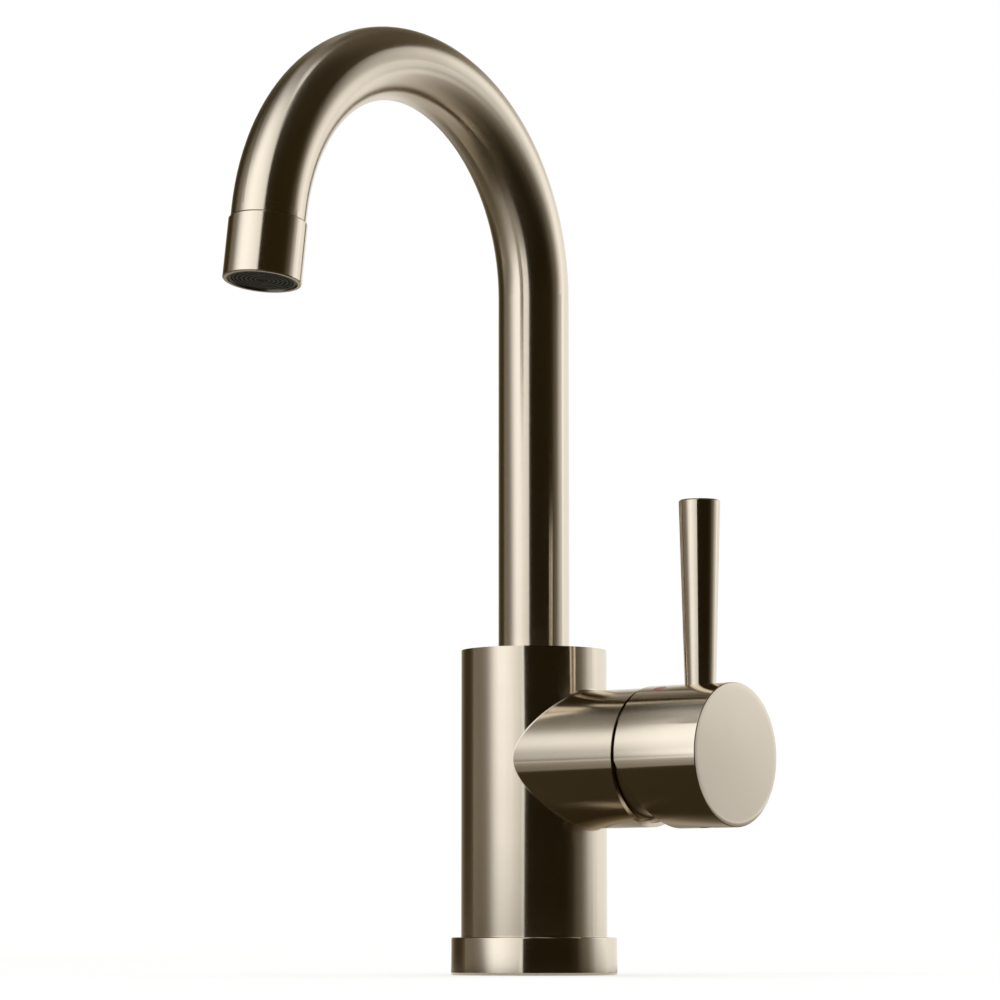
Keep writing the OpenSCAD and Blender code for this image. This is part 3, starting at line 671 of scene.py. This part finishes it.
def scrim():
    """A large leaning sheet of diffuser on the camera's left, lit from behind as one soft spot."""
    lit_across = ((-6.8, 0.15, 0.25), (-2.2, 0.15, 0.25), (-1.75, 0.175, 0.2),
                  (-1.45, 0.205, 0.15), (-1.22, 0.29, 0.1), (-1.05, 0.43), (-0.9, 0.61),
                  (-0.76, 0.77), (-0.62, 0.90), (-0.45, 1.0, -0.03), (-0.1, 1.0, -0.03),
                  (0.15, 0.93), (0.4, 0.83), (0.85, 0.66), (1.0, 0.6))
    lit_upward = ((-0.13, 0.58), (-0.08, 0.74), (-0.02, 1.02), (0.08, 1.02), (0.2, 0.93),
                  (0.35, 0.95), (0.5, 1.0), (0.9, 0.99), (1.02, 0.965), (1.18, 0.9),
                  (1.37, 0.74), (1.58, 0.42), (1.85, 0.16), (2.05, 0.08))
    (left, right), (foot, top) = span(lit_across), span(lit_upward)
    turn = math.radians(-6)
    ahead = Vector((math.sin(turn), -math.cos(turn), 0))
    side = Vector((math.cos(turn), math.sin(turn), 0))

    def place(u, v):
        rise = foot + v * (top - foot)
        near = 1.6 - 0.69 * rise            # the sheet leans over the tap
        right_edge = 0.71 - 0.42 * max(rise - 0.5, 0) ** 2
        left_edge = -3.2 * near             # past this, the left walls stand in front of it
        across = (left + u * (right - left)) * waist(rise)
        across = max(min(across, right_edge), left_edge)
        return MIDDLE + side * across + ahead * near + Vector((0, 0, rise))
    card("scrim", lit_across, lit_upward, place, strength=1.27, lights=True)


def walls():
    """Dark walls and ceilings on both sides of the tap, opening to the white backdrop."""
    wall("right_wall_low",
         ((22, 0.018, 0.6), (34, 0.012, 0.6), (88, 0.014, 0.6), (100, 0.03, 0.5),
          (108, 0.10, 0.25), (118, 0.18, 0.2), (126, 0.36, 0.1), (134, 0.66), (144, 0.88),
          (156, 1.12)),
         ((-6, 0.72), (-1.5, 0.8), (1.3, 0.9), (4.2, 1.08), (14, 1.2)))
    wall("right_wall_high",
         ((22, 0.028, 0.6), (50, 0.024, 0.6), (110, 0.03, 0.6), (122, 0.05, 0.4),
          (132, 0.33, 0.2), (140, 0.85), (150, 1.12), (172, 1.12)),
         ((14, 1), (30, 1), (36, 0.8), (40, 0.45)))
    wall("right_ceiling",
         ((22, 0.10, 0.3), (40, 0.06, 0.3), (60, 0.035, 0.5), (120, 0.035, 0.5),
          (140, 0.10, 0.4), (172, 0.12, 0.4)),
         ((40, 1), (50, 0.8), (90, 0.9)))
    wall("left_wall",
         ((-134, 0.5, 0.1), (-126, 0.28, 0.2), (-118, 0.2, 0.3), (-110, 0.09, 0.4),
          (-98, 0.04, 0.5), (-84, 0.05, 0.5), (-75, 0.12, 0.4)),
         ((-6, 1), (14, 1), (24, 0.8), (58, 0.8)))
    wall("left_flag",
         ((-76, 0.03, 0.5), (-64, 0.04, 0.5), (-56, 0.1, 0.4)),
         ((42, 1), (58, 1)))
    wall("left_ceiling",
         ((-134, 0.13, 0.3), (-115, 0.17, 0.3), (-95, 0.32, 0.2), (-75, 0.5, 0.1)),
         ((58, 0.25), (62, 0.55), (66, 0.95), (74, 0.8), (82, 0.5), (90, 0.35)))
    wall("far_left_ceiling",
         ((-190, 1), (-134, 1)),
         ((18, 1), (26, 0.65, 0.1), (33, 0.28, 0.3), (42, 0.1, 0.4), (60, 0.08, 0.4),
          (90, 0.09, 0.4)))
    wall("back_ceiling",
         ((172, 1), (190, 1)),
         ((26, 1), (34, 0.75, 0.1), (40, 0.3, 0.2), (48, 0.08, 0.4), (64, 0.07, 0.5),
          (90, 0.12, 0.5)))


def floor_boards():
    """What the tap mirrors of the floor: a dark board under it, then the lit floor beyond."""
    table("far_floor", 0.0004,
          ((-180, 1), (-140, 1), (-130, 0.8, 0.05), (-120, 0.42, 0.1), (-110, 0.25, 0.2),
           (-90, 0.17, 0.3), (-60, 0.17, 0.3), (-40, 0.32, 0.2), (-26, 0.52, 0.1),
           (-10, 0.62, 0.05), (12, 0.42, 0.1), (22, 0.28, 0.15), (28, 0.03, 0.5),
           (80, 0.02, 0.6), (100, 0.06, 0.4), (120, 0.22, 0.25), (135, 0.45, 0.1),
           (150, 0.8, 0.05), (165, 1), (180, 1)),
          ((0.2, 0.42, 0.1), (0.32, 0.52, 0.1), (0.5, 0.68, 0.05), (0.9, 0.95)))
    table("floor_at_the_walls", 0.0004,
          ((-180, 1.15), (-145, 1.1), (-134, 0.8), (-118, 0.25, 0.3), (-104, 0.09, 0.4),
           (-76, 0.08, 0.5), (-68, 0.2, 0.3), (-44, 0.25, 0.2), (-30, 0.7), (-12, 1.25),
           (6, 1.12), (20, 0.9), (24, 0.02, 0.5), (90, 0.01, 0.6), (118, 0.16, 0.3),
           (130, 0.45), (140, 0.95), (160, 1.15), (180, 1.15)),
          ((0.9, 0.95), (2.4, 1)))
    table("near_floor", 0.0008,
          ((-180, 0.25, 0.2), (-165, 0.3, 0.2), (-150, 0.5, 0.1), (-130, 0.45, 0.15),
           (-110, 0.33, 0.2), (-90, 0.27, 0.3), (-70, 0.17, 0.3), (-55, 0.09, 0.4),
           (-42, 0.04, 0.5), (90, 0.035, 0.5), (112, 0.1, 0.4), (130, 0.2, 0.3),
           (150, 0.4, 0.2), (165, 0.42, 0.2), (180, 0.25, 0.2)),
          ((0.02, 1), (0.235, 1)))


white_room()
white_floor()
scrim()
walls()
floor_boards()

camera_data = bpy.data.cameras.new("photo_camera")
camera_data.lens = 139.21
camera_data.sensor_width = 36
camera_data.clip_start = 0.01
camera = bpy.data.objects.new("photo_camera", camera_data)
camera.location = (0.72870, -0.94862, 0.01116)
camera.rotation_euler = [math.radians(angle) for angle in (96.468, 0, 38.034)]
bpy.context.scene.collection.objects.link(camera)
bpy.context.scene.camera = camera
bpy.context.scene.view_settings.view_transform = "Standard"
